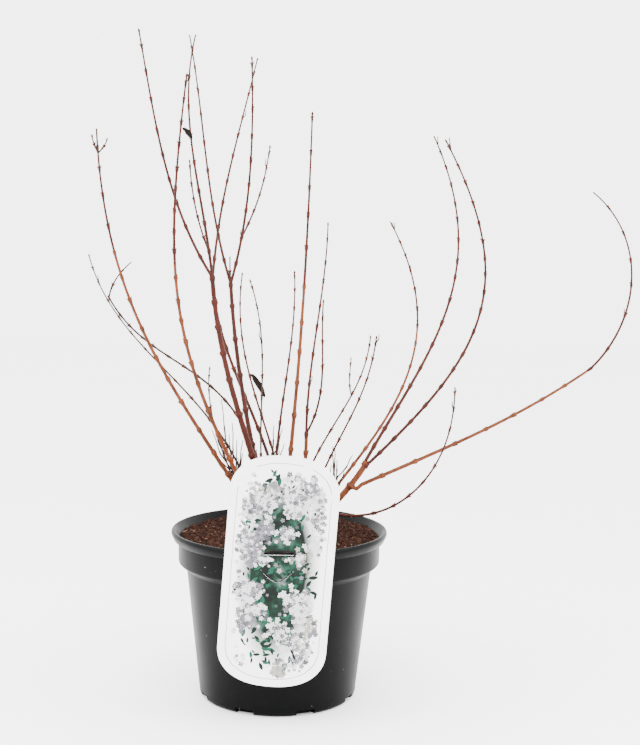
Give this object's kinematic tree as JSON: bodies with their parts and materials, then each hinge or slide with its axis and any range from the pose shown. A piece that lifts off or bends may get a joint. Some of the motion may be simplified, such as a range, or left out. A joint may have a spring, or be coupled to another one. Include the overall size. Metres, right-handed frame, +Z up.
{
  "type": "potted deutzia shrub",
  "caption": "Leafless garden shrub with slender branching canes on a woody crown, in a round black nursery pot of compost, with a hanging picture label.",
  "frame": {"origin": "middle of the pot's flat underside", "axes": "+Z up, +X to the viewer's right in the picture, +Y away from the viewer"},
  "size_m": [0.4428, 0.2207, 0.5251],
  "materials": {
    "black_plastic": "semi-gloss black",
    "peat": "moist crumbly peat compost",
    "crown_wood": "rough old wood",
    "label_plastic": "white printed plastic",
    "bark_orange": "smooth orange-brown bark",
    "bark_red": "smooth red-brown bark",
    "bark_dark": "dull grey-brown bark",
    "twigs_red": "smooth red-brown bark",
    "twigs_dark": "dull grey-brown bark",
    "dry_twigs": "dry dead twigs",
    "dead_leaf": "dry dark dead leaf"
  },
  "bodies": {
    "root": {"bough_far_right": "bark_orange", "bough_low_right": "bark_red", "bough_right_middle": "bark_red", "bough_right_outer": "bark_red", "cane_centre_back": "bark_red", "cane_centre_front": "bark_orange", "cane_centre_right": "bark_orange", "cane_left_hooked": "bark_dark", "cane_left_inner": "bark_orange", "cane_left_low": "bark_dark", "cane_left_outer": "bark_orange", "cane_left_sprig": "bark_dark", "cane_right_inner": "bark_orange", "cane_short_back": "bark_red", "cane_short_front": "bark_red", "cane_slim_back": "bark_red", "cane_slim_front": "bark_dark", "cane_tall_back": "bark_red", "cane_tall_front": "bark_red", "cane_tall_middle": "bark_red", "compost": "peat", "crown": "crown_wood", "dead_leaf_high": "dead_leaf", "dead_leaf_low": "dead_leaf", "label": "label_plastic", "pot": "black_plastic", "thicket_centre": "dry_twigs", "thicket_left": "dry_twigs", "thicket_right": "dry_twigs", "trunk_right": "bark_orange", "twigs_centre_back": "twigs_red", "twigs_centre_front": "twigs_red", "twigs_centre_right": "twigs_red", "twigs_far_right": "twigs_red", "twigs_left_hooked": "twigs_dark", "twigs_left_inner": "twigs_red", "twigs_left_low": "twigs_dark", "twigs_left_outer": "twigs_red", "twigs_low_right": "twigs_red", "twigs_right_inner": "twigs_red", "twigs_right_middle": "twigs_red", "twigs_right_outer": "twigs_red", "twigs_short_back": "twigs_red", "twigs_short_front": "twigs_red", "twigs_slim_back": "twigs_red", "twigs_slim_front": "twigs_dark", "twigs_tall_back": "twigs_red", "twigs_tall_front": "twigs_red", "twigs_tall_middle": "twigs_red"}
  },
  "joints": []
}
